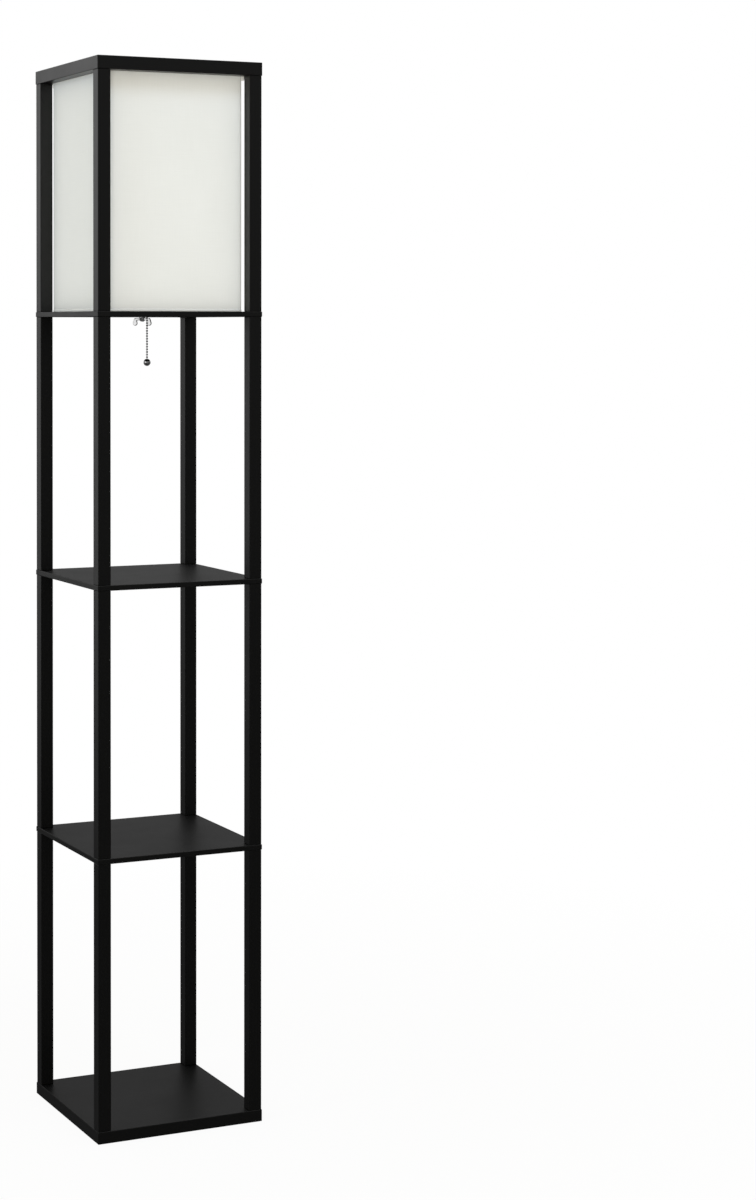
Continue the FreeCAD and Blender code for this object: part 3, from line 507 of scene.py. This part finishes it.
def make_world():
    """White where it is seen, a plain soft level where it lights the object."""
    world = bpy.data.worlds.new("studio")
    bpy.context.scene.world = world
    world.use_nodes = True
    background = node_of(world, "BACKGROUND")
    links = world.node_tree.links
    seen = seen_directly(world)
    links.new(two_colours(world, seen, AMBIENT_COLOUR, WHITE), background.inputs["Color"])
    links.new(between(world, seen, AMBIENT_STRENGTH, 1.0), background.inputs["Strength"])


def stage_material(name):
    """A material without its ready shader."""
    made = new_material(name)
    made.node_tree.nodes.remove(node_of(made, "BSDF_PRINCIPLED"))
    return made


def stage_object(name, build, material, surface):
    """A thing of the studio, which is no part of the lamp. surface is the shader that it shows."""
    material.node_tree.links.new(surface, node_of(material, "OUTPUT_MATERIAL").inputs["Surface"])
    made = mesh_object(name, build, material)
    return made


def white_glow(made, strength):
    """Shader that shows white at this strength."""
    return add(made, "ShaderNodeEmission", {"Color": (*WHITE, 1), "Strength": strength}).outputs[0]


def mix_shaders(made, share, first, second):
    """Blend of two shaders: the first at 0, the second at 1."""
    return add(made, "ShaderNodeMixShader", {0: share, 1: first, 2: second}).outputs[0]


def make_floor():
    """White floor that takes the lamp's shadow and turns to plain white away from it."""
    made = stage_material("floor_white")
    distance = add(made, "ShaderNodeVectorMath", {0: object_place(made)}, operation="LENGTH")
    share = add(made, "ShaderNodeMapRange", {
        "Value": distance.outputs["Value"], "From Min": FLOOR_SHADE_REACH[0],
        "From Max": FLOOR_SHADE_REACH[1], "To Min": FLOOR_GLOW, "To Max": 1.0}).outputs[0]
    seen_matt, bounce = [
        add(made, "ShaderNodeBsdfDiffuse", {"Color": (grey, grey, grey, 1)}).outputs[0]
        for grey in (FLOOR_SEEN_GREY, FLOOR_BOUNCE_GREY)]
    shown = mix_shaders(made, share, seen_matt, white_glow(made, 1.0))
    surface = mix_shaders(made, seen_directly(made), bounce, shown)

    def build(work):
        bmesh.ops.create_grid(work, x_segments=1, y_segments=1, size=FLOOR_HALF)

    stage_object("floor", build, made, surface)


def card(name, greys, build):
    """A grey studio card for reflections alone, from one grey at the floor to another high up."""
    made = stage_material(name)
    height = add(made, "ShaderNodeSeparateXYZ", {"Vector": object_place(made)}).outputs["Z"]
    grey = add(made, "ShaderNodeMapRange", {
        "Value": height, "From Max": CARD_FADE_TOP, "To Min": greys[0], "To Max": greys[1]}).outputs[0]
    shown = stage_object(name, build, made, white_glow(made, grey))
    for kind in ("camera", "diffuse", "transmission", "volume_scatter", "shadow"):
        setattr(shown, "visible_" + kind, False)


def build_surround(work):
    """A wall round the whole studio."""
    bmesh.ops.create_cone(work, cap_ends=False, segments=SURROUND_SEGMENTS, radius1=SURROUND_RADIUS,
                          radius2=SURROUND_RADIUS, depth=SURROUND_TOP)
    bmesh.ops.translate(work, verts=work.verts, vec=(0, 0, SURROUND_TOP / 2))


def build_ground(work):
    """A round cloth on the floor, as wide as the surround."""
    bmesh.ops.create_circle(work, cap_ends=True, segments=SURROUND_SEGMENTS, radius=SURROUND_RADIUS)
    bmesh.ops.translate(work, verts=work.verts, vec=(0, 0, GROUND_LIFT))


def standing_builder(size):
    """What builds one standing card, an upright rectangle square to its direction."""
    middle = Vector((*size.direction, 0)) * size.distance
    across = Vector((size.direction[1], -size.direction[0], 0))
    left, right = [middle + across * edge for edge in size.edges]
    low, high = [Vector((0, 0, height)) for height in size.heights]

    def build(work):
        corners = (left + low, right + low, right + high, left + high)
        work.faces.new([work.verts.new(corner) for corner in corners])
    return build


def make_cards():
    """A dark surround, three tall cards, and a dark cloth on the ground."""
    card("card_surround", SURROUND_GREYS, build_surround)
    for name, size in STANDING_CARDS.items():
        card(name, size.greys, standing_builder(size))
    card("card_ground", GROUND_GREYS, build_ground)


def area_light(name, place, size, power, colour):
    """Square soft light aimed at the shade."""
    light = bpy.data.lights.new(name, "AREA")
    light.shape = "SQUARE"
    light.size = size
    light.energy = power
    light.color = colour
    lamp = bpy.data.objects.new(name, light)
    bpy.context.collection.objects.link(lamp)
    lamp.location = place
    lamp.rotation_euler = (Vector(LIT_PLACE) - Vector(place)).to_track_quat("-Z", "Y").to_euler()
    lamp.visible_glossy = False            # the cards take its place in reflections


def make_lights():
    """A high key light in front, a level fill in front, and one more on the left."""
    key_place = Vector(LIT_PLACE) + Vector(KEY_DIRECTION).normalized() * KEY_DISTANCE
    area_light("key", key_place, KEY_SIZE, KEY_POWER, KEY_COLOUR)
    area_light("fill", FILL_PLACE, FILL_SIZE, FILL_POWER, FILL_COLOUR)
    area_light("side", SIDE_PLACE, SIDE_SIZE, SIDE_POWER, SIDE_COLOUR)


def make_camera():
    """The photograph's camera."""
    data = bpy.data.cameras.new("camera")
    data.sensor_width = SENSOR_MM
    data.lens = FOCAL_PX / IMAGE_HEIGHT * SENSOR_MM
    data.shift_x = (IMAGE_WIDTH / 2 - OPTICAL_CENTRE_PX[0]) / IMAGE_HEIGHT
    data.shift_y = (OPTICAL_CENTRE_PX[1] - IMAGE_HEIGHT / 2) / IMAGE_HEIGHT
    camera = bpy.data.objects.new("camera", data)
    bpy.context.collection.objects.link(camera)
    camera.location = CAMERA_PLACE
    camera.rotation_euler = Euler((math.radians(90 - CAMERA_PITCH_DOWN_DEG), 0,
                                   math.radians(CAMERA_YAW_DEG)))
    bpy.context.scene.camera = camera


make_camera()
make_world()
make_floor()
make_cards()
make_lights()
materials = paint_cad()
make_shade(materials["shade_fabric"])
bpy.context.scene.view_settings.view_transform = "Standard"
